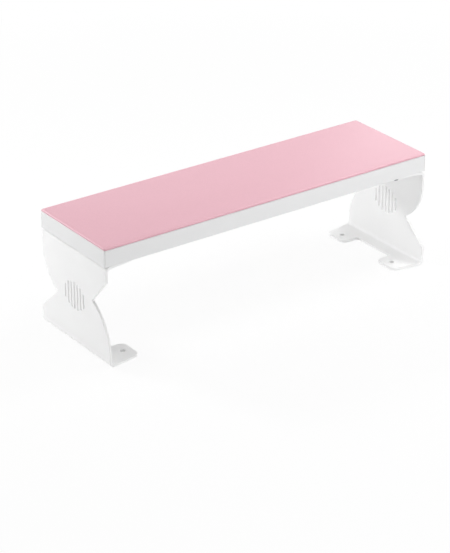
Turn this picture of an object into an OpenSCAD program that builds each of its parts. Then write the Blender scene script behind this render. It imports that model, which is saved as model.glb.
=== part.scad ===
// Manicure hand rest: a thin leatherette pad on a white edge-banded board,
// carried by two bent sheet-steel legs that are the same part turned round.
//
// X runs along the board, Y from the near side to the far side, Z up from the
// table. The origin is on the table, midway between the legs.

/* [Board] */
// Length of the board with its bands, end to end
board_l = 400; // [300:5:500]
// Width of the board with its bands, near side to far side
board_w = 116; // [100:1:150]
// Thickness of the board
board_t = 18; // [15:0.5:25]
// Thickness of the edge bands
band_t = 1; // [0.5:0.1:2]
// Radius scraped on the outer edges of the bands
band_r = 0.7; // [0.2:0.1:1.5]

/* [Pad] */
// Height of the pad's rolled edge above the board
pad_edge_h = 3; // [2.75:0.25:6]
// Angle by which the rolled edge draws in again under its widest point
pad_tuck = 45; // [30:1:50]
// How far in from its edge the pad slopes off towards the rolled edge
pad_slope_w = 4; // [3:0.5:10]
// How much higher the middle of the pad is than its edge
pad_crown = 1.2; // [0.4:0.2:4]
// How far the pad's edge stands in from the board's edge
pad_setback = 0; // [0:0.1:2]
// Radius of the pad's corners, seen from above
pad_corner_r = 1.5; // [1:0.5:8]
// Thickness of the leatherette
cover_t = 0.9; // [0.5:0.1:1]
// Width of the hem that is turned under the foam
hem_w = 14; // [8:1:25]

/* [Legs] */
// Height of the legs, from the table to the board
leg_h = 106.5; // [90:1:150]
// Thickness of the sheet steel
sheet_t = 2.5; // [1.5:0.25:3.5]
// Inside radius of the two bends
bend_r = 3; // [2:0.5:5]
// How far the leg's outer face stands in from the end of the board
leg_setback = 0.5; // [0:0.5:20]
// How much the foot is wider than the board, on each side
foot_spread = 4; // [0:0.5:10]
// Height of the foot's straight edge below the slanting cut
heel_h = 19.5; // [10:1:25]
// Height of the foot's straight edge below the curve
instep_h = 10; // [5:0.5:20]
// Height of the straight edge between the board and the slanting cut
brow_h = 16.5; // [10:0.5:25]
// Height of the straight edge between the board and the curve
shoulder_h = 18; // [8:0.5:24]
// Distance from the leg's middle line to each waist
waist_half = 32; // [28:0.5:42]
// How far the low waist lies below half height
waist_drop = 7; // [2:0.5:14]
// How far the high waist lies above half height
waist_rise = 8.5; // [2:0.5:14]
// Radius at the corners of the slanting cuts
cut_corner_r = 3; // [1:0.5:6]

/* [Flanges] */
// How far the tabs reach, from the leg's outer face to their tips
tab_reach = 37.5; // [32:0.5:50]
// Width of the narrow part of the flange between its two tabs
strip_w = 17.5; // [14:0.5:22]
// Distance from a hole's middle to the tab's inner edge
tab_inner_w = 14.5; // [10:0.5:20]
// How much a tab's outer edge draws in towards its tip
tab_taper = 5; // [0:0.5:8]
// Radius of the tabs' tips
tab_tip_r = 7; // [2:0.5:10]
// Radius in the inner corner between a tab and the strip
tab_root_r = 3; // [1:0.5:8]
// Diameter of the holes in the flanges
hole_d = 5.5; // [5.2:0.1:6.5]
// Distance from a hole's middle to the side of the board
hole_inset = 15.5; // [12:0.5:20]
// Distance from a hole's middle to the tab's tip
hole_tip = 10; // [8:0.5:13]

/* [Slots] */
// Number of slots cut through each leg
slot_count = 7; // [3:2:7]
// Width of a slot
slot_w = 2.2; // [1.5:0.1:3]
// Distance from one slot to the next
slot_pitch = 5.5; // [4.5:0.1:6.5]
// Length of the middle slot
slot_l = 30; // [14:1:36]

/* [Fasteners] */
// Diameter of the screws' thread
screw_d = 5; // [4:0.5:5]
// Length of the screws below the head
screw_l = 12; // [8:1:14]
// Diameter of the screws' heads
screw_head_d = 8.5; // [7:0.25:10]
// Height of the screws' heads
screw_head_h = 5; // [3:0.25:6]
// Key size of the socket in the heads
screw_key = 4; // [2.5:0.5:4]
// Outer diameter of the threaded inserts
insert_d = 8; // [7:0.5:10]
// Length of the threaded inserts
insert_l = 12; // [8:1:13]

/* [Hidden] */
// Clearance round the foam, inside the leatherette
foam_gap = 0.2;
// Clearance on the diameter between screw and insert, and round the insert
thread_gap = 0.1;
// Depth that the blind holes have beyond the inserts
blind_spare = 1;
// How far every cut runs past the surface that it opens
overrun = 1;
// Chamfer at the mouth of the inserts
insert_mouth = 0.6;
// Chamfer round the top of the screws' heads
head_chamfer = 0.5;

// Most that a rounding takes of the edge that it sits on
round_share = 0.45;
// Most that the scraped radius takes of the band's thickness
scrape_share = 0.8;
// Depth of the key socket in a screw's head
socket_share = 0.5;
// How far in from the pad's edge the crown is level, of half its width
crown_reach_share = 0.75;

// Steps of the pad's rolled edge, of its crown and of each of its corners
roll_steps = 9;
crown_steps = 5;
corner_steps = 5;

bend_out = bend_r + sheet_t;
leg_face = board_l / 2 - leg_setback;
top_half = board_w / 2;
foot_half = board_w / 2 + foot_spread;
low_waist_z = leg_h / 2 - waist_drop;
high_waist_z = leg_h / 2 + waist_rise;
slot_z = (low_waist_z + high_waist_z) / 2;

hole_u = tab_reach - hole_tip;
hole_x = leg_face - hole_u;
hole_y = board_w / 2 - hole_inset;
tab_inner_y = hole_y - tab_inner_w;
tab_free = tab_reach - strip_w;
root_round = min(tab_root_r, tab_free * round_share);
tip_round = min(tab_tip_r, tab_free * round_share);
scrape = min(band_r, band_t * scrape_share);

board_top = leg_h + board_t;
pad_half_l = board_l / 2 - pad_setback;
pad_half_w = board_w / 2 - pad_setback;
roll_r = pad_edge_h / (1 + sin(pad_tuck));
roll_z = roll_r * sin(pad_tuck);

$fn = 96;

// Radius of an arc that leaves a vertical edge without a kink and
// comes "across" nearer to the middle over a height of "along"
function arc_radius(across, along) = (across * across + along * along) / (2 * across);

function unit(v) = v / norm(v);

// The curved triangle between a corner p and an arc of radius r that touches
// both of its edges; u and v point along the edges, away from the corner.
// Taken away it rounds a corner off, added it fills an inner corner.
module corner_piece(p, u, v, r) {
    half_angle = acos(u * v) / 2;
    reach = r / tan(half_angle);
    towards = unit(u + v);
    centre = p + towards * r / sin(half_angle);
    difference() {
        polygon([p - towards * overrun, p + u * reach, centre, p + v * reach]);
        translate(centre) circle(r = r);
    }
}

// Draws its flat children in Y and Z and carries them along X
module along_x(length) {
    rotate([90, 0, 90]) linear_extrude(height = length) children();
}

// Draws its flat children in X and Z and carries them along Y, half to each side
module across_y(length) {
    rotate([90, 0, 0]) linear_extrude(height = length, center = true) children();
}

// Repeats its child at the four holes, by the sign of X and of Y
module at_hole(side_x, side_y) {
    translate([side_x * hole_x, side_y * hole_y, 0]) children();
}

// The bent sheet seen from the front: web on the left, a flange at top and bottom
module sheet_section() {
    difference() {
        square([tab_reach, leg_h]);
        translate([sheet_t, sheet_t]) difference() {
            square([tab_reach, leg_h - 2 * sheet_t]);
            corner_piece([0, 0], [1, 0], [0, 1], bend_r);
            corner_piece([0, leg_h - 2 * sheet_t], [1, 0], [0, -1], bend_r);
        }
        corner_piece([0, 0], [1, 0], [0, 1], bend_out);
        corner_piece([0, leg_h], [1, 0], [0, -1], bend_out);
    }
}

// One rounded flank of the leg, from its waist out to a straight edge
module flank(edge_y, edge_z, waist_z) {
    across = edge_y - waist_half;
    along = abs(edge_z - waist_z);
    radius = arc_radius(across, along);
    intersection() {
        translate([edge_y - radius, edge_z]) circle(r = radius);
        translate([waist_half, min(edge_z, waist_z)]) square([across, along]);
    }
}

// The leg seen from its end. Each side has one curve and one slanting cut,
// which meet at the waist, and the second side is the first one upside down.
module leg_outline() {
    heel = [foot_half, heel_h];
    brow = [-top_half, leg_h - brow_h];
    low_waist = [waist_half, low_waist_z];
    high_waist = [-waist_half, high_waist_z];
    difference() {
        union() {
            polygon([
                [foot_half, 0], heel, low_waist,
                [top_half, leg_h - shoulder_h], [top_half, leg_h],
                [-top_half, leg_h], brow, high_waist,
                [-foot_half, instep_h], [-foot_half, 0]
            ]);
            flank(top_half, leg_h - shoulder_h, low_waist_z);
            mirror([1, 0]) flank(foot_half, instep_h, high_waist_z);
        }
        corner_piece(heel, [0, -1], unit(low_waist - heel), cut_corner_r);
        corner_piece(brow, [0, 1], unit(high_waist - brow), cut_corner_r);
    }
}

// One tab of a flange seen from above, on the side of positive Y
module tab_outline(half) {
    inner_tip = [tab_reach, tab_inner_y];
    outer_tip = [tab_reach, half - tab_taper];
    outer_root = [bend_out, half];
    difference() {
        polygon([[0, tab_inner_y], inner_tip, outer_tip, outer_root, [0, half]]);
        corner_piece(inner_tip, [-1, 0], [0, 1], tip_round);
        corner_piece(outer_tip, [0, -1], unit(outer_root - outer_tip), tip_round);
    }
    corner_piece([strip_w, tab_inner_y], [1, 0], [0, -1], root_round);
}

// A whole flange seen from above: a narrow strip that widens into two tabs
module flange_outline(half) {
    translate([0, -tab_inner_y - overrun]) square([strip_w, 2 * (tab_inner_y + overrun)]);
    tab_outline(half);
    mirror([0, 1]) tab_outline(half);
}

// What is cut away from a flange that starts out as wide as the sheet
module flange_waste(half) {
    linear_extrude(height = sheet_t + 2 * overrun) difference() {
        translate([bend_out, -foot_half - overrun])
            square([tab_reach, 2 * (foot_half + overrun)]);
        flange_outline(half);
    }
}

// A row of upright slots with round ends, whose lengths follow an oval
module slot_row() {
    oval_half = slot_count * slot_pitch / 2;
    last = (slot_count - 1) / 2;
    for (i = [-last : last]) {
        length = slot_l * sqrt(1 - pow(i * slot_pitch / oval_half, 2));
        straight = max(length - slot_w, 0);
        translate([i * slot_pitch, 0]) {
            square([slot_w, straight], center = true);
            for (end = [-1, 1]) translate([0, end * straight / 2]) circle(d = slot_w);
        }
    }
}

// One leg, laser cut from sheet and bent twice; it stands as the left one
module leg() {
    translate([-leg_face, 0, 0]) difference() {
        intersection() {
            across_y(2 * foot_half) sheet_section();
            along_x(tab_reach) leg_outline();
        }
        translate([0, 0, -overrun]) flange_waste(foot_half);
        translate([0, 0, leg_h - sheet_t - overrun]) flange_waste(top_half);
        for (side = [-1, 1]) translate([hole_u, side * hole_y, -overrun])
            cylinder(d = hole_d, h = leg_h + 2 * overrun);
        translate([-overrun, 0, slot_z]) along_x(sheet_t + 2 * overrun) slot_row();
    }
}

module left_leg() {
    color("white") leg();
}

module right_leg() {
    color("white") rotate([0, 0, 180]) leg();
}

// Particle board with white faces, drilled from below for the inserts
module board() {
    core_l = board_l - 2 * band_t;
    core_w = board_w - 2 * band_t;
    color("gainsboro") difference() {
        translate([-core_l / 2, -core_w / 2, leg_h]) cube([core_l, core_w, board_t]);
        for (side_x = [-1, 1]) for (side_y = [-1, 1])
            at_hole(side_x, side_y) translate([0, 0, leg_h - overrun])
                cylinder(d = insert_d + thread_gap, h = insert_l + blind_spare + overrun);
    }
}

// An edge band in section, with its outer side at zero and both corners scraped
module band_section() {
    difference() {
        square([band_t, board_t]);
        corner_piece([0, 0], [1, 0], [0, 1], scrape);
        corner_piece([0, board_t], [1, 0], [0, -1], scrape);
    }
}

// A band along one of the long sides, between the two end bands
module long_band() {
    length = board_l - 2 * band_t;
    translate([-length / 2, -board_w / 2, leg_h]) along_x(length) band_section();
}

// A band across one end, which also covers the ends of the long bands
module end_band() {
    translate([-board_l / 2, 0, leg_h]) difference() {
        across_y(board_w) band_section();
        for (side = [-1, 1]) translate([0, 0, -overrun])
            linear_extrude(height = board_t + 2 * overrun)
                corner_piece([0, side * board_w / 2], [1, 0], [0, -side], scrape);
    }
}

module edge_band_front() {
    color("whitesmoke") long_band();
}

module edge_band_back() {
    color("whitesmoke") mirror([0, 1, 0]) long_band();
}

module edge_band_left() {
    color("whitesmoke") end_band();
}

module edge_band_right() {
    color("whitesmoke") mirror([1, 0, 0]) end_band();
}

// How the pad's surface runs in from its edge, as pairs of inset and height:
// a rolled edge that starts at height "base" and bulges out, a rounded slope
// above its widest point, then a crown that levels out. "skin" draws the
// surface smaller, by the thickness of what lies over it.
function pad_profile(skin, base) =
    let (
        r = roll_r - skin,
        first = asin((base - roll_z) / r),
        crown_w = pad_half_w * crown_reach_share - pad_slope_w
    )
    concat(
        [for (i = [0 : roll_steps])
            let (
                a = first + (90 - first) * i / roll_steps,
                reach = a < 0 ? roll_r : pad_slope_w
            )
            [reach - (reach - skin) * cos(a), roll_z + r * sin(a)]],
        [for (i = [1 : crown_steps]) let (s = i / crown_steps)
            [pad_slope_w + crown_w * s, roll_z + r + pad_crown * (1 - pow(1 - s, 2))]]
    );

// A rectangle with round corners that keeps the given inset from the pad's
// edge, counter-clockwise seen from above; the corners tighten with the inset
function pad_ring(inset, z) =
    let (
        corner = pad_corner_r * (1 - inset / pad_half_w),
        x = pad_half_l - inset - corner,
        y = pad_half_w - inset - corner
    )
    [for (quarter = [0 : 3]) for (i = [0 : corner_steps])
        let (
            a = 90 * (quarter + i / corner_steps),
            side_x = quarter == 0 || quarter == 3 ? 1 : -1,
            side_y = quarter < 2 ? 1 : -1
        )
        [side_x * x + corner * cos(a), side_y * y + corner * sin(a), z]];

// A closed solid through rings of equal count, from the lowest to the highest
module ring_solid(rings) {
    count = len(rings[0]);
    top = count * (len(rings) - 1);
    polyhedron(
        points = [for (ring = rings) each ring],
        faces = concat(
            [[for (i = [0 : count - 1]) i]],
            [[for (i = [count - 1 : -1 : 0]) top + i]],
            [for (start = [0 : count : top - 1]) for (i = [0 : count - 1])
                let (j = (i + 1) % count, next = start + count)
                each [[start + i, next + i, next + j], [start + i, next + j, start + j]]]
        )
    );
}

// The crowned pad above the hem, with a plug below it that fills the hem's
// window down to "bottom"; "gap" keeps the plug clear of the window's edge
module pad_filling(skin, gap, bottom) {
    window = hem_w + gap;
    ring_solid(concat(
        [pad_ring(window, bottom), pad_ring(window, cover_t)],
        [for (p = pad_profile(skin, cover_t)) pad_ring(p[0], p[1])]
    ));
}

// Foam sheet on the board, with the hem under its border
module pad_foam() {
    color("khaki") translate([0, 0, board_top])
        pad_filling(cover_t + foam_gap, foam_gap, 0);
}

// Leatherette drawn over the foam and turned under all round
module pad_cover() {
    color("pink") translate([0, 0, board_top]) difference() {
        ring_solid([for (p = pad_profile(0, 0)) pad_ring(p[0], p[1])]);
        pad_filling(cover_t, 0, -overrun);
    }
}

// Socket-head screw, pushed up through the flange from below
module leg_screw() {
    head_r = screw_head_d / 2;
    color("dimgray") translate([0, 0, leg_h - sheet_t]) difference() {
        union() {
            rotate_extrude() polygon([
                [0, -screw_head_h], [head_r - head_chamfer, -screw_head_h],
                [head_r, head_chamfer - screw_head_h], [head_r, 0], [0, 0]
            ]);
            cylinder(d = screw_d, h = screw_l);
        }
        translate([0, 0, -screw_head_h - overrun])
            cylinder(d = screw_key / cos(30), h = screw_head_h * socket_share + overrun, $fn = 6);
    }
}

// Threaded insert, driven into the board flush with its underside
module insert() {
    bore = screw_d + thread_gap;
    color("silver") translate([0, 0, leg_h]) difference() {
        cylinder(d = insert_d, h = insert_l);
        translate([0, 0, -overrun]) cylinder(d = bore, h = insert_l + 2 * overrun);
        cylinder(d1 = bore + 2 * insert_mouth, d2 = bore, h = insert_mouth);
    }
}

module leg_screw_left_front() { at_hole(-1, -1) leg_screw(); }
module leg_screw_left_back() { at_hole(-1, 1) leg_screw(); }
module leg_screw_right_front() { at_hole(1, -1) leg_screw(); }
module leg_screw_right_back() { at_hole(1, 1) leg_screw(); }

module insert_left_front() { at_hole(-1, -1) insert(); }
module insert_left_back() { at_hole(-1, 1) insert(); }
module insert_right_front() { at_hole(1, -1) insert(); }
module insert_right_back() { at_hole(1, 1) insert(); }

board();
edge_band_front();
edge_band_back();
edge_band_left();
edge_band_right();
pad_foam();
pad_cover();
left_leg();
right_leg();
leg_screw_left_front();
leg_screw_left_back();
leg_screw_right_front();
leg_screw_right_back();
insert_left_front();
insert_left_back();
insert_right_front();
insert_right_back();
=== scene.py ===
"""Manicure hand rest: a thin pink leatherette pad on a white edge-banded board, on two bent legs.

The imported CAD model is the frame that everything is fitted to. Lengths are in metres; +X runs
along the board, -Y points to the viewer and +Z up, with the origin on the table between the legs.
"""

import math

import bpy
import numpy as np
from mathutils import Matrix, Vector


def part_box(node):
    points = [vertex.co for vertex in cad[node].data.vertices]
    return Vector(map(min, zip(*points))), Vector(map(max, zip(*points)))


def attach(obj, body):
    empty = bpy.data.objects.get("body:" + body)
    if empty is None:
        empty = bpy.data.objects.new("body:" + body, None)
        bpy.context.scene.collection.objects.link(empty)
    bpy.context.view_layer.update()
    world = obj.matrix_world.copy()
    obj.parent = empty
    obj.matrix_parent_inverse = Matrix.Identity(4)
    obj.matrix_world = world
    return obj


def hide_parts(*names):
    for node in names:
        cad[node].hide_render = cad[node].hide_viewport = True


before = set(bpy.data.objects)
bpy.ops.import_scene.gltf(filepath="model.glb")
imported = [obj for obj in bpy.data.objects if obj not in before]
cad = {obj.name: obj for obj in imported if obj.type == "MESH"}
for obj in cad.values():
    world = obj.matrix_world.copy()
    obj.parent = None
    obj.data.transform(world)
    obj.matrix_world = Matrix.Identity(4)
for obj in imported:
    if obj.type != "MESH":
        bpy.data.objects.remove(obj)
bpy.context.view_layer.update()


# Camera
# A long lens that looks down on the rest from the left of its near side. Its place, direction
# and focal length come from a fit to the board's edges, the bottoms of the legs and foot holes.
EYE = Vector((-1.2010, -1.6505, 1.0184))
TURN, DIP, ROLL = math.radians(35.652), math.radians(26.115), math.radians(-0.109)
LENS, SENSOR = 142.244, 36.0

forward = Vector((math.sin(TURN) * math.cos(DIP), math.cos(TURN) * math.cos(DIP), -math.sin(DIP)))
level = Vector((math.cos(TURN), -math.sin(TURN), 0))
upright = level.cross(forward)
right = math.cos(ROLL) * level + math.sin(ROLL) * upright
above = math.cos(ROLL) * upright - math.sin(ROLL) * level

camera = bpy.data.objects.new("camera", bpy.data.cameras.new("camera"))
camera.data.lens, camera.data.sensor_width = LENS, SENSOR
facing = Matrix((right, above, -forward)).transposed()
camera.matrix_world = Matrix.Translation(EYE) @ facing.to_4x4()
bpy.context.scene.collection.objects.link(camera)
bpy.context.scene.camera = camera
bpy.context.scene.view_settings.view_transform = "Standard"


# Board
# Particle board with white melamine on both faces, cut square and drilled from below for the
# threaded inserts. Only its underside shows: bands, pad and inserts cover the bare chips.
MELAMINE = (0.84, 0.84, 0.84)
CHIPS = (0.46, 0.33, 0.20)
CHIP_SIZE, CHIP_LAY = 0.0016, (2.2, 2.2, 0.7)
PEARL_SIZE, PEARL_DEPTH = 0.0007, 0.00002
FACE_PATCH, FACE_NORMAL_Z = 0.03, 0.7


def new_finish(name, colour, roughness, **sockets):
    """A finish with plain values on the shader's own sockets.

    Returns its material, node tree and shader.
    """
    material = bpy.data.materials.new(name)
    material.use_nodes = True
    tree = material.node_tree
    shader = tree.nodes["Principled BSDF"]
    shader.inputs["Base Color"].default_value = (*colour, 1)
    shader.inputs["Roughness"].default_value = roughness
    for socket, value in sockets.items():
        shader.inputs[socket.replace("_", " ")].default_value = value
    return material, tree, shader


def place(tree, stretch=(1, 1, 1)):
    """Object coordinates in metres, with the pattern drawn out along X, Y and Z by stretch."""
    mapping = tree.nodes.new("ShaderNodeMapping")
    mapping.inputs["Scale"].default_value = [1 / s for s in stretch]
    here = tree.nodes.new("ShaderNodeTexCoord").outputs["Object"]
    tree.links.new(here, mapping.inputs["Vector"])
    return mapping.outputs["Vector"]


def cloud(tree, size, detail=2, stretch=(1, 1, 1)):
    """Noise from 0 to 1 whose lumps are about size metres wide."""
    noise = tree.nodes.new("ShaderNodeTexNoise")
    noise.inputs["Scale"].default_value = 1 / size
    noise.inputs["Detail"].default_value = detail
    tree.links.new(place(tree, stretch), noise.inputs["Vector"])
    return noise.outputs["Fac"]


def packed(tree, size, where, feature="F1"):
    """Cells about size metres wide, packed round scattered points; returns their node."""
    node = tree.nodes.new("ShaderNodeTexVoronoi")
    node.feature = feature
    node.inputs["Scale"].default_value = 1 / size
    tree.links.new(where, node.inputs["Vector"])
    return node


def spread(tree, field, low, high, between=(0.3, 0.7)):
    """The field's values between two marks, spread out from low to high."""
    node = tree.nodes.new("ShaderNodeMapRange")
    for socket, value in zip(("From Min", "From Max", "To Min", "To Max"), (*between, low, high)):
        node.inputs[socket].default_value = value
    tree.links.new(field, node.inputs["Value"])
    return node.outputs["Result"]


def blend_colours(tree, share, first, second):
    """The first colour where share is 0 and the second where it is 1.

    Each is a colour or a socket.
    """
    mix = tree.nodes.new("ShaderNodeMix")
    mix.data_type = "RGBA"
    tree.links.new(share, mix.inputs["Factor"])
    for socket, colour in ((mix.inputs[6], first), (mix.inputs[7], second)):
        if isinstance(colour, tuple):
            socket.default_value = (*colour, 1)
        else:
            tree.links.new(colour, socket)
    return mix.outputs[2]


def shade(colour, factor):
    """The colour made darker or lighter by a factor."""
    return tuple(c * factor for c in colour)


def mottled(tree, colour, size, detail, dark=0.985, light=1.01):
    """The colour a little darker and lighter in soft patches of about size metres."""
    patches = cloud(tree, size, detail)
    return blend_colours(tree, patches, shade(colour, dark), shade(colour, light))


def relief(tree, height, depth, under=None):
    """A bump whose full height is depth metres, on top of another normal if one is given."""
    bump = tree.nodes.new("ShaderNodeBump")
    bump.inputs["Distance"].default_value = depth
    tree.links.new(height, bump.inputs["Height"])
    if under is not None:
        tree.links.new(under, bump.inputs["Normal"])
    return bump.outputs["Normal"]


def calculate(tree, operation, first, second=0.0):
    """One step of arithmetic on sockets or numbers."""
    node = tree.nodes.new("ShaderNodeMath")
    node.operation = operation
    for socket, value in zip(node.inputs, (first, second)):
        if isinstance(value, (int, float)):
            socket.default_value = value
        else:
            tree.links.new(value, socket)
    return node.outputs[0]


def paint(name, material):
    """Gives a CAD node its finish."""
    cad[name].data.materials.clear()
    cad[name].data.materials.append(material)


melamine, tree, shader = new_finish("white melamine board", MELAMINE, 0.42)
geometry = tree.nodes.new("ShaderNodeNewGeometry")
across = tree.nodes.new("ShaderNodeSeparateXYZ")
tree.links.new(geometry.outputs["True Normal"], across.inputs["Vector"])
lying = calculate(tree, "ABSOLUTE", across.outputs["Z"])
on_face = calculate(tree, "GREATER_THAN", lying, FACE_NORMAL_Z)
chips = packed(tree, CHIP_SIZE, place(tree, CHIP_LAY))
lightness = tree.nodes.new("ShaderNodeSeparateColor")
tree.links.new(chips.outputs["Color"], lightness.inputs["Color"])
core = blend_colours(tree, lightness.outputs["Red"], shade(CHIPS, 0.62), shade(CHIPS, 1.25))
pearl = cloud(tree, PEARL_SIZE, 3)
white = mottled(tree, MELAMINE, FACE_PATCH, 3)
tree.links.new(blend_colours(tree, on_face, core, white), shader.inputs["Base Color"])
tree.links.new(spread(tree, pearl, 0.36, 0.48), shader.inputs["Roughness"])
tree.links.new(relief(tree, pearl, PEARL_DEPTH), shader.inputs["Normal"])
paint("board", melamine)


# Edge bands
# White satin ABS strips, 1 mm thick, glued round the board and scraped to a small radius. The
# end strips cover the ends of the long ones, and a hairline of glue shows at every joint.
BAND_WHITE = (0.806, 0.808, 0.811)
GLUE = (0.50, 0.49, 0.47)
JOINT = 0.00009
ROLLED_SIZE, ROLLED_LAY, ROLLED_DEPTH = 0.0004, (12, 12, 1), 0.00001
BAND_PATCH, BAND_EDGE_R = 0.02, 0.0003

core_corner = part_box("board")[1]


def soft_edges(tree, radius):
    """The normal, turned at sharp edges as if they had a radius."""
    bevel = tree.nodes.new("ShaderNodeBevel")
    bevel.inputs["Radius"].default_value = radius
    return bevel.outputs[0]


band_finish, tree, shader = new_finish("white edge band", BAND_WHITE, 0.38)
where = tree.nodes.new("ShaderNodeSeparateXYZ")
tree.links.new(place(tree), where.inputs["Vector"])
past_core = [
    calculate(tree, "SUBTRACT", calculate(tree, "ABSOLUTE", axis), edge)
    for axis, edge in ((where.outputs["X"], core_corner.x), (where.outputs["Y"], core_corner.y))
]
gaps = [calculate(tree, "ABSOLUTE", past) for past in past_core]
in_joint = calculate(tree, "LESS_THAN", calculate(tree, "MINIMUM", *gaps), JOINT)
tone = mottled(tree, BAND_WHITE, BAND_PATCH, 4)
tree.links.new(blend_colours(tree, in_joint, tone, GLUE), shader.inputs["Base Color"])
rolled = cloud(tree, ROLLED_SIZE, 3, ROLLED_LAY)
scraped = soft_edges(tree, BAND_EDGE_R)
tree.links.new(spread(tree, rolled, 0.33, 0.45), shader.inputs["Roughness"])
tree.links.new(relief(tree, rolled, ROLLED_DEPTH, scraped), shader.inputs["Normal"])
for side in ("front", "back", "left", "right"):
    paint("edge_band_" + side, band_finish)


# Legs
# One part used twice: 2.5 mm steel sheet, laser cut and bent at the foot and under the board,
# then powder coated white. The coat has a fine orange peel and is pulled thin over the edges.
COAT_WHITE = (0.915, 0.915, 0.914)
PEEL_SIZE, PEEL_DEPTH = 0.0013, 0.00004
GRIT_SIZE, GRIT_DEPTH = 0.00035, 0.000012
COAT_PATCH, COAT_EDGE_R = 0.025, 0.0005

coat, tree, shader = new_finish("white powder coat", COAT_WHITE, 0.4, Specular_IOR_Level=0.2)
grit = cloud(tree, GRIT_SIZE, 1)
orange_peel = relief(tree, cloud(tree, PEEL_SIZE), PEEL_DEPTH, soft_edges(tree, COAT_EDGE_R))
tree.links.new(mottled(tree, COAT_WHITE, COAT_PATCH, 4), shader.inputs["Base Color"])
tree.links.new(relief(tree, grit, GRIT_DEPTH, orange_peel), shader.inputs["Normal"])
tree.links.new(spread(tree, grit, 0.34, 0.47), shader.inputs["Roughness"])
for side in ("left", "right"):
    paint(side + "_leg", coat)


# Threaded inserts
# Four zinc-plated steel sleeves, threaded for the leg screws and pressed into blind holes in
# the underside of the board. The flanges of the legs hide them.
ZINC = (0.66, 0.66, 0.63)
SPANGLE_SIZE = 0.0009
CORNERS = [(x, y) for x in ("left", "right") for y in ("front", "back")]

zinc, tree, shader = new_finish("zinc plating", ZINC, 0.35, Metallic=1.0)
spangle = cloud(tree, SPANGLE_SIZE, 3)
zinc_tone = blend_colours(tree, spangle, shade(ZINC, 0.85), shade(ZINC, 1.1))
tree.links.new(zinc_tone, shader.inputs["Base Color"])
tree.links.new(spread(tree, spangle, 0.28, 0.45), shader.inputs["Roughness"])
for x, y in CORNERS:
    paint(f"insert_{x}_{y}", zinc)


# Leg screws
# M5 socket-head screws in black oxide, pushed up through the flanges into the inserts. The
# heads are knurled, with a hexagon socket, and the shanks carry a coarse metric thread.
SCREW_R, HEAD_R, HEAD_H, KEY = 0.0025, 0.00425, 0.005, 0.004
HEAD_CHAMFER, SOCKET_DEPTH, SOCKET_CHAMFER = 0.0005, 0.0025, 0.0003
PITCH, THREAD_DEPTH, TIP = 0.0008, 0.00042, 0.0006
RIDGES, RIDGE_DEPTH = 36, 0.00012
NECK, TURN_STEPS = 0.0004, 72
BLACK_OXIDE = (0.045, 0.045, 0.05)
BLOOM_SIZE, OXIDE_GRAIN, OXIDE_DEPTH = 0.0012, 0.0003, 0.000008


def mesh_piece(name, points, faces, material, crease=math.radians(35)):
    """A mesh object at the origin from points and faces.

    It is shaded smooth, and sharp where it turns by more than crease.
    """
    mesh = bpy.data.meshes.new(name)
    mesh.from_pydata(points.reshape(-1, 3).tolist(), [], faces)
    mesh.polygons.foreach_set("use_smooth", np.ones(len(mesh.polygons), bool))
    mesh.set_sharp_from_angle(angle=crease)
    mesh.materials.append(material)
    piece = bpy.data.objects.new(name, mesh)
    bpy.context.scene.collection.objects.link(piece)
    return piece


def band_quads(first, second):
    """Quads between two closed rings of point numbers, both counter-clockwise."""
    return np.stack([first, np.roll(first, -1), np.roll(second, -1), second], -1)


def screw_points(shank_l):
    """Points of a screw as rows of a profile turned round the Z axis, head down.

    The profile runs from the middle of the socket over the head and up the shank. Its radius
    is that of a hexagon in the socket, dips by a ridge at every second step on the head's
    side, and on the shank is cut by a triangle wave of height over pitch less turn.
    """
    step = np.arange(TURN_STEPS)
    turn = step * 2 * np.pi / TURN_STEPS
    hexagon = KEY / 2 / np.cos((turn + np.pi / 6) % (np.pi / 3) - np.pi / 6)
    knurl = RIDGE_DEPTH * (step % (TURN_STEPS // RIDGES))
    rows = [
        (0.02 * hexagon, SOCKET_DEPTH),
        (0.6 * hexagon, SOCKET_DEPTH),
        (hexagon, SOCKET_DEPTH),
        (hexagon, SOCKET_DEPTH * 0.5),
        (hexagon, SOCKET_CHAMFER),
        (np.maximum(hexagon, KEY / 2 + SOCKET_CHAMFER), 0.0),
        (HEAD_R - 2 * HEAD_CHAMFER, 0.0),
        (HEAD_R - HEAD_CHAMFER, 0.15 * HEAD_CHAMFER),
        (HEAD_R - 0.2 * HEAD_CHAMFER, 0.6 * HEAD_CHAMFER),
        (HEAD_R - knurl, 1.2 * HEAD_CHAMFER),
        (HEAD_R - knurl, HEAD_H * 0.5),
        (HEAD_R - knurl, HEAD_H - 0.5 * HEAD_CHAMFER),
        (HEAD_R - RIDGE_DEPTH, HEAD_H),
        (SCREW_R + NECK, HEAD_H),
        (SCREW_R - THREAD_DEPTH / 2, HEAD_H + NECK),
    ]
    top = HEAD_H + shank_l
    for z in np.arange(HEAD_H + 2 * PITCH, top - TIP, PITCH / 6):
        wave = np.abs(((z / PITCH - turn / (2 * np.pi)) % 1) * 2 - 1)
        fade = min(1.0, (z - HEAD_H - PITCH) / (2 * PITCH), (top - z) / TIP)
        rows.append((SCREW_R - THREAD_DEPTH * (1 - fade * (1 - wave)), z))
    rows += [(SCREW_R - THREAD_DEPTH, top - TIP / 2), (SCREW_R * 0.6, top),
             (SCREW_R * 0.02, top)]
    return np.array([
        np.stack(np.broadcast_arrays(r * np.cos(turn), r * np.sin(turn), z), -1) for r, z in rows
    ])


black, tree, shader = new_finish("black oxide", BLACK_OXIDE, 0.4, Metallic=0.9)
bloom = cloud(tree, BLOOM_SIZE, 3)
oxide_tone = blend_colours(tree, bloom, shade(BLACK_OXIDE, 0.7), shade(BLACK_OXIDE, 1.5))
tree.links.new(oxide_tone, shader.inputs["Base Color"])
tree.links.new(spread(tree, bloom, 0.32, 0.5), shader.inputs["Roughness"])
tree.links.new(relief(tree, cloud(tree, OXIDE_GRAIN), OXIDE_DEPTH), shader.inputs["Normal"])

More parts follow.
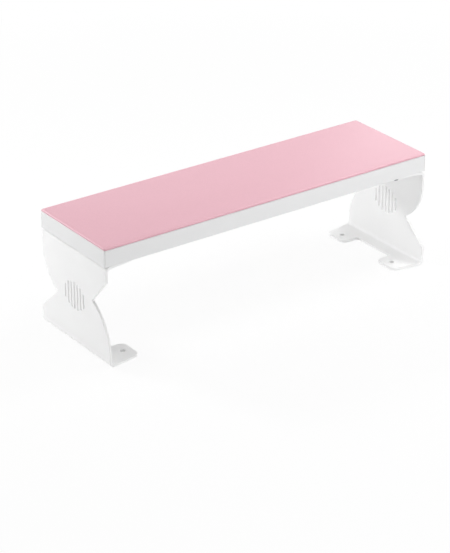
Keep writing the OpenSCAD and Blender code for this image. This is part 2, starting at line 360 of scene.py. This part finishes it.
for x, y in CORNERS:
    screw_low, screw_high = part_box(f"leg_screw_{x}_{y}")
    rows = screw_points(screw_high.z - screw_low.z - HEAD_H)
    axis = [(screw_low.x + screw_high.x) / 2, (screw_low.y + screw_high.y) / 2, screw_low.z]
    rings = np.arange(rows.shape[0] * rows.shape[1]).reshape(rows.shape[:2])
    faces = np.concatenate([band_quads(a, b) for a, b in zip(rings[:-1], rings[1:])]).tolist()
    faces += [rings[0][::-1].tolist(), rings[-1].tolist()]
    screw = mesh_piece(f"socket_screw_{x}_{y}", rows + axis, faces, black)
    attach(screw, "root")
    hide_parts(f"leg_screw_{x}_{y}")


# Foam
# A 3 mm sheet of open-cell foam glued between the board and the leatherette, with the hem of
# the cover under its border. Nothing of it shows. The cover follows its shape, so both are
# made by the functions here.
FOAM = (0.86, 0.79, 0.55)
CELL_SIZE, CELL_DEPTH = 0.0011, 0.0004
EDGE_H, TUCK, SLOPE_W, CROWN = 0.003, math.radians(45), 0.004, 0.00095
CORNER_R, CORNER_SOFTER, COVER_T, HEM, FOAM_GAP = 0.0015, 1.1, 0.0009, 0.014, 0.0002
CROWN_REACH = 0.75
ALONG, ACROSS, ROUND, ROLL_STEPS = 84, 24, 5, 14

pad_low, pad_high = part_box("pad_cover")
half_l, half_w, board_top = pad_high.x, pad_high.y, pad_low.z
roll_r = EDGE_H / (1 + math.sin(TUCK))
roll_z = roll_r * math.sin(TUCK)


def sheet_plan():
    """Plan of a sheet that is drawn over a rectangle with round corners.

    In the middle its points are a plain grid. The last ROUND lines on each side bend round the
    corners: the larger of a point's two outward shares gives its distance there, and the ratio
    of the smaller to the larger its angle. Returns the core position from -1 to 1, the outward
    direction and the outward share of every point.
    """
    def line(cells):
        step = np.arange(cells + 2 * ROUND + 1)
        core = np.clip((step - ROUND) / cells, 0, 1) * 2 - 1
        out = np.maximum(ROUND - step, 0) / ROUND - np.maximum(step - cells - ROUND, 0) / ROUND
        return core, -out

    (core_x, out_x), (core_y, out_y) = line(ALONG), line(ACROSS)
    core_x, core_y = np.meshgrid(core_x, core_y, indexing="ij")
    out_x, out_y = np.meshgrid(out_x, out_y, indexing="ij")
    large = np.maximum(abs(out_x), abs(out_y))
    small = np.minimum(abs(out_x), abs(out_y))
    angle = np.pi / 4 * small / np.maximum(large, 1e-9)
    wide = abs(out_x) >= abs(out_y)
    dir_x = np.where(wide, np.cos(angle), np.sin(angle)) * np.sign(out_x)
    dir_y = np.where(wide, np.sin(angle), np.cos(angle)) * np.sign(out_y)
    return core_x, core_y, dir_x, dir_y, large


def on_ring(plan, inset, upper, share=1.0):
    """Where the plan's points lie on a rectangle that keeps an inset from the pad's edge.

    A point is its core position times the straight half side, plus its outward direction
    times the corner radius and the share of it. On the upper side of the roll the corners
    get softer as the inset grows, and under it they tighten.
    """
    core_x, core_y, dir_x, dir_y = plan[:4]
    corner = CORNER_R + CORNER_SOFTER * inset if upper else CORNER_R * (1 - inset / half_w)
    x = core_x * (half_l - inset - corner) + dir_x * corner * share
    y = core_y * (half_w - inset - corner) + dir_y * corner * share
    return x, y


def rim_numbers(rows, columns):
    """Numbers of a grid's outermost points, counter-clockwise seen from above."""
    grid = np.arange(rows * columns).reshape(rows, columns)
    return np.concatenate([grid[:-1, 0], grid[-1, :-1], grid[:0:-1, -1], grid[0, :0:-1]])


def crown(x, y, reach):
    """Height of the crown.

    It rises from each side as one less the square of the share of reach still to go, and the
    rises from the long side and from the end are multiplied.
    """
    rise = [1 - (1 - np.clip((half - abs(v)) / reach, 0, 1)) ** 2
            for v, half in ((x, half_l - SLOPE_W), (y, half_w - SLOPE_W))]
    return CROWN * rise[0] * rise[1]


def drawn_over(name, skin, rings, closed, material):
    """A sheet with a crowned top, a rolled edge and further rings under it.

    The edge is a quarter ellipse from the top down to the widest point and an arc of radius
    roll_r from there to the tuck angle, both smaller by skin; rings are pairs of inset and
    height that follow, and closed fills the last one with a flat grid.
    """
    plan = sheet_plan()
    shape = plan[0].shape
    r = roll_r - skin
    x, y = on_ring(plan, SLOPE_W, True, plan[4])
    z = roll_z + r + crown(x, y, half_w * CROWN_REACH)
    rim = rim_numbers(*shape)
    rim_plan = [part.ravel()[rim] for part in plan]
    lowest = -TUCK if not skin else math.asin((COVER_T - roll_z) / r)
    path = []
    for a in np.linspace(math.pi / 2, lowest, ROLL_STEPS + 1)[1:]:
        reach = SLOPE_W if a > 0 else roll_r
        path.append((reach - (reach - skin) * math.cos(a), roll_z + r * math.sin(a)))
    path += rings
    points = [np.stack([x, y, z], -1).reshape(-1, 3)]
    for inset, height in path:
        ring_x, ring_y = on_ring(rim_plan, inset, height > roll_z)
        points.append(np.stack([ring_x, ring_y, np.full(len(rim), height)], -1))
    numbers = np.arange(shape[0] * shape[1]).reshape(shape)
    grid = np.stack([numbers[:-1, :-1], numbers[1:, :-1], numbers[1:, 1:], numbers[:-1, 1:]], -1)
    faces = [grid.reshape(-1, 4)]
    last = rim
    for k in range(len(path)):
        ring = numbers.size + k * len(rim) + np.arange(len(rim))
        faces.append(band_quads(ring, last))
        last = ring
    if closed:
        inset, height = path[-1]
        x, y = on_ring(plan, inset, False, plan[4])
        flat = np.full(numbers.size, -1)
        flat[rim] = last
        inner = np.flatnonzero(flat < 0)
        flat[inner] = numbers.size + len(path) * len(rim) + np.arange(len(inner))
        points.append(np.stack([x, y, np.full(shape, height)], -1).reshape(-1, 3)[inner])
        faces.append(flat[grid.reshape(-1, 4)][:, ::-1])
    points = np.concatenate(points) + [0, 0, board_top]
    return mesh_piece(name, points, np.concatenate(faces).tolist(), material, math.pi)


foam_finish, tree, shader = new_finish("open-cell foam", FOAM, 0.95)
cells = packed(tree, CELL_SIZE, place(tree)).outputs["Distance"]
# The colour is darker towards the middles of the cells, where the bump is lowest: painted shade
# in the pores.
foam_tone_and_pore_shade = blend_colours(
    tree, spread(tree, cells, 0, 1, (0.1, 0.6)), shade(FOAM, 0.7), shade(FOAM, 1.05),
)
tree.links.new(foam_tone_and_pore_shade, shader.inputs["Base Color"])
tree.links.new(relief(tree, cells, CELL_DEPTH), shader.inputs["Normal"])

border = [(HEM + FOAM_GAP, COVER_T), (HEM + FOAM_GAP, 0.0)]
foam = drawn_over("foam_sheet", COVER_T + FOAM_GAP, border, True, foam_finish)
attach(foam, "root")
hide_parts("pad_foam")


# Leatherette cover
# One piece of fine-grained pink leatherette, stretched over the foam, rolled round its edge and
# turned under on all sides. The edge draws in again under the roll, where it meets the board.
PINK = (0.765, 0.428, 0.497)
GRAIN, GRAIN_DEPTH, CREASE = 0.0011, 0.00003, 0.22
WANDER_SIZE, WANDER = 2.5 * GRAIN, 0.7 * GRAIN
PORE_SIZE, PORE_DEPTH, PINK_PATCH = 0.0003, 0.00001, 0.018
HEM_RINGS = 3
SWELL, SWELL_CAP, FREE_FROM = 0.35, 0.0004, 0.006
CLOTH_MASS, CLOTH_STIFF, CLOTH_BEND, CLOTH_QUALITY = 0.2, 30, 2, 6
FRAMES = 20

leather, tree, shader = new_finish(
    "pink leatherette", PINK, 0.48, Sheen_Weight=0.12, Sheen_Roughness=0.4,
)
wander = tree.nodes.new("ShaderNodeTexNoise")
wander.inputs["Scale"].default_value = 1 / WANDER_SIZE
tree.links.new(place(tree), wander.inputs["Vector"])
shifted = tree.nodes.new("ShaderNodeVectorMath")
shifted.operation = "MULTIPLY_ADD"
shifted.inputs[1].default_value = (WANDER,) * 3
tree.links.new(wander.outputs["Color"], shifted.inputs[0])
tree.links.new(place(tree), shifted.inputs[2])
creases = packed(tree, GRAIN, shifted.outputs[0], "DISTANCE_TO_EDGE")
pebble_and_crease_shade = spread(tree, creases.outputs["Distance"], 0, 1, (0.0, CREASE))
tone = mottled(tree, PINK, PINK_PATCH, 4, 0.975, 1.02)
# Base colour: 7% darker in the creases between the pebbles, which is painted shade in the grain's
# valleys, and softly mottled on the pebbles.
tree.links.new(blend_colours(tree, pebble_and_crease_shade, shade(PINK, 0.93), tone), shader.inputs["Base Color"])
tree.links.new(spread(tree, pebble_and_crease_shade, 0.44, 0.35, (0, 1)), shader.inputs["Roughness"])
pores = relief(tree, cloud(tree, PORE_SIZE), PORE_DEPTH)
tree.links.new(relief(tree, pebble_and_crease_shade, GRAIN_DEPTH, pores), shader.inputs["Normal"])

hem = [(roll_r * (1 - math.cos(TUCK)) + (HEM - roll_r) * k / HEM_RINGS, 0.0)
       for k in range(1, HEM_RINGS + 1)]
cover = drawn_over("leatherette_cover", 0.0, hem, False, leather)


def swell(piece):
    """Blows the cover up a little as cloth, so that it lies as taut as it does over the foam.

    Everything nearer to the edge than FREE_FROM is pinned, and no point moves further than
    SWELL_CAP. Blender's Cloth runs with pressure and no gravity, and the moved points are then
    written into the mesh. It lifts the middle by about 0.25 mm, to the CAD's full crown.
    """
    rest = np.zeros(len(piece.data.vertices) * 3)
    piece.data.vertices.foreach_get("co", rest)
    rest = rest.reshape(-1, 3)
    from_edge = np.minimum(half_l - abs(rest[:, 0]), half_w - abs(rest[:, 1]))
    free = (from_edge > FREE_FROM) & (rest[:, 2] > board_top + roll_z)
    pins = piece.vertex_groups.new(name="pinned")
    pins.add(np.flatnonzero(~free).tolist(), 1.0, "REPLACE")
    cloth = piece.modifiers.new("cloth", "CLOTH")
    cloth.settings.vertex_group_mass = "pinned"
    cloth.settings.quality = CLOTH_QUALITY
    cloth.settings.mass = CLOTH_MASS
    cloth.settings.tension_stiffness = cloth.settings.compression_stiffness = CLOTH_STIFF
    cloth.settings.bending_stiffness = CLOTH_BEND
    cloth.settings.use_pressure = True
    cloth.settings.uniform_pressure_force = SWELL
    cloth.settings.effector_weights.gravity = 0
    cloth.point_cache.frame_end = FRAMES
    scene = bpy.context.scene
    for number in range(1, FRAMES + 1):
        scene.frame_set(number)
    moved = piece.evaluated_get(bpy.context.evaluated_depsgraph_get()).data
    after = np.zeros(len(rest) * 3)
    moved.vertices.foreach_get("co", after)
    shift = after.reshape(-1, 3) - rest
    length = np.linalg.norm(shift, axis=1, keepdims=True)
    shift *= np.minimum(1, SWELL_CAP / np.maximum(length, 1e-12))
    piece.modifiers.remove(cloth)
    piece.vertex_groups.clear()
    scene.frame_set(1)
    piece.data.vertices.foreach_set("co", (rest + shift).ravel())
    piece.data.update()


swell(cover)
thickness = cover.modifiers.new("thickness", "SOLIDIFY")
thickness.thickness, thickness.offset = COVER_T, -1
smooth = cover.modifiers.new("smooth", "SUBSURF")
smooth.levels = smooth.render_levels = 1
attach(cover, "root")
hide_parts("pad_cover")


# Floor and light
# A white table top that keeps a faint shadow, in plain white surroundings. Wide lamps from above
# light the pad, a small one at the back left draws the bright line along its left end, one at
# the back right adds a sheen, and two at table height light the white edges and the legs.
SURROUND = 0.3
FLOOR_WHITE, FLOOR_HALF = (0.93, 0.93, 0.93), 6.0
FLOOR_GLOW, GLOW_FROM, GLOW_FULL = 0.88, 0.3, 0.9
SPECKLE_SIZE, SPECKLE_DEPTH = 0.002, 0.00002
PAD_MIDDLE = (0, 0, 0.12)


def seen_by_camera(tree):
    """1 for rays from the camera, also by way of a gloss or through glass, else 0."""
    path = tree.nodes.new("ShaderNodeLightPath").outputs
    seen = calculate(tree, "MAXIMUM", path["Is Camera Ray"], path["Is Glossy Ray"])
    return calculate(tree, "MAXIMUM", seen, path["Is Transmission Ray"])


world = bpy.data.worlds.new("white surroundings")
bpy.context.scene.world = world
world.use_nodes = True
tree = world.node_tree
sky = tree.nodes["Background"]
sky.inputs["Color"].default_value = (1, 1, 1, 1)
tree.links.new(spread(tree, seen_by_camera(tree), SURROUND, 1.0, (0, 1)), sky.inputs["Strength"])

table, tree, shader = new_finish("white table", FLOOR_WHITE, 0.6)
glow = tree.nodes.new("ShaderNodeEmission")
glow.inputs["Color"].default_value = (1, 1, 1, 1)
shown = tree.nodes.new("ShaderNodeMixShader")
away = tree.nodes.new("ShaderNodeVectorMath")
away.operation = "LENGTH"
tree.links.new(place(tree), away.inputs[0])
glow_share = spread(tree, away.outputs["Value"], FLOOR_GLOW, 1.0, (GLOW_FROM, GLOW_FULL))
tree.links.new(calculate(tree, "MULTIPLY", seen_by_camera(tree), glow_share), shown.inputs["Fac"])
tree.links.new(shader.outputs["BSDF"], shown.inputs[1])
tree.links.new(glow.outputs["Emission"], shown.inputs[2])
tree.links.new(shown.outputs[0], tree.nodes["Material Output"].inputs["Surface"])
speckle = cloud(tree, SPECKLE_SIZE, 3)
tree.links.new(relief(tree, speckle, SPECKLE_DEPTH), shader.inputs["Normal"])
corners = np.array([(x, y, 0.0) for x, y in ((-1, -1), (1, -1), (1, 1), (-1, 1))]) * FLOOR_HALF
floor = mesh_piece("floor", corners, [[0, 1, 2, 3]], table)


def soft_lamp(name, spot, aim, width, height, watts):
    """A rectangular white lamp at a spot, turned to face the point that it is aimed at."""
    light = bpy.data.lights.new(name, "AREA")
    light.shape, light.size, light.size_y = "RECTANGLE", width, height
    light.energy = watts
    lamp = bpy.data.objects.new(name, light)
    lamp.location = spot
    lamp.rotation_euler = (Vector(aim) - Vector(spot)).to_track_quat("-Z", "Y").to_euler()
    bpy.context.scene.collection.objects.link(lamp)


soft_lamp("overhead", (0.0, 0.0, 1.1), PAD_MIDDLE, 0.8, 0.8, 2.5)
soft_lamp("over the right", (0.7, -0.1, 0.9), PAD_MIDDLE, 0.5, 0.4, 4.65)
soft_lamp("near side", (-0.05, -0.7, 0.8), PAD_MIDDLE, 0.5, 0.4, 1.12)
soft_lamp("back left", (-0.55, 0.80, 0.62), (-0.1, 0, 0.12), 0.22, 0.16, 4.6)
soft_lamp("sheen", (0.55, 0.35, 0.38), (0.2, 0, 0.12), 0.2, 0.2, 0.23)
soft_lamp("low left", (-0.9, 0.55, 0.12), (0.15, 0, 0.05), 0.4, 0.2, 2.1)
soft_lamp("low near side", (0.45, -1.1, 0.11), (0.1, 0, 0.08), 0.5, 0.12, 3.3)
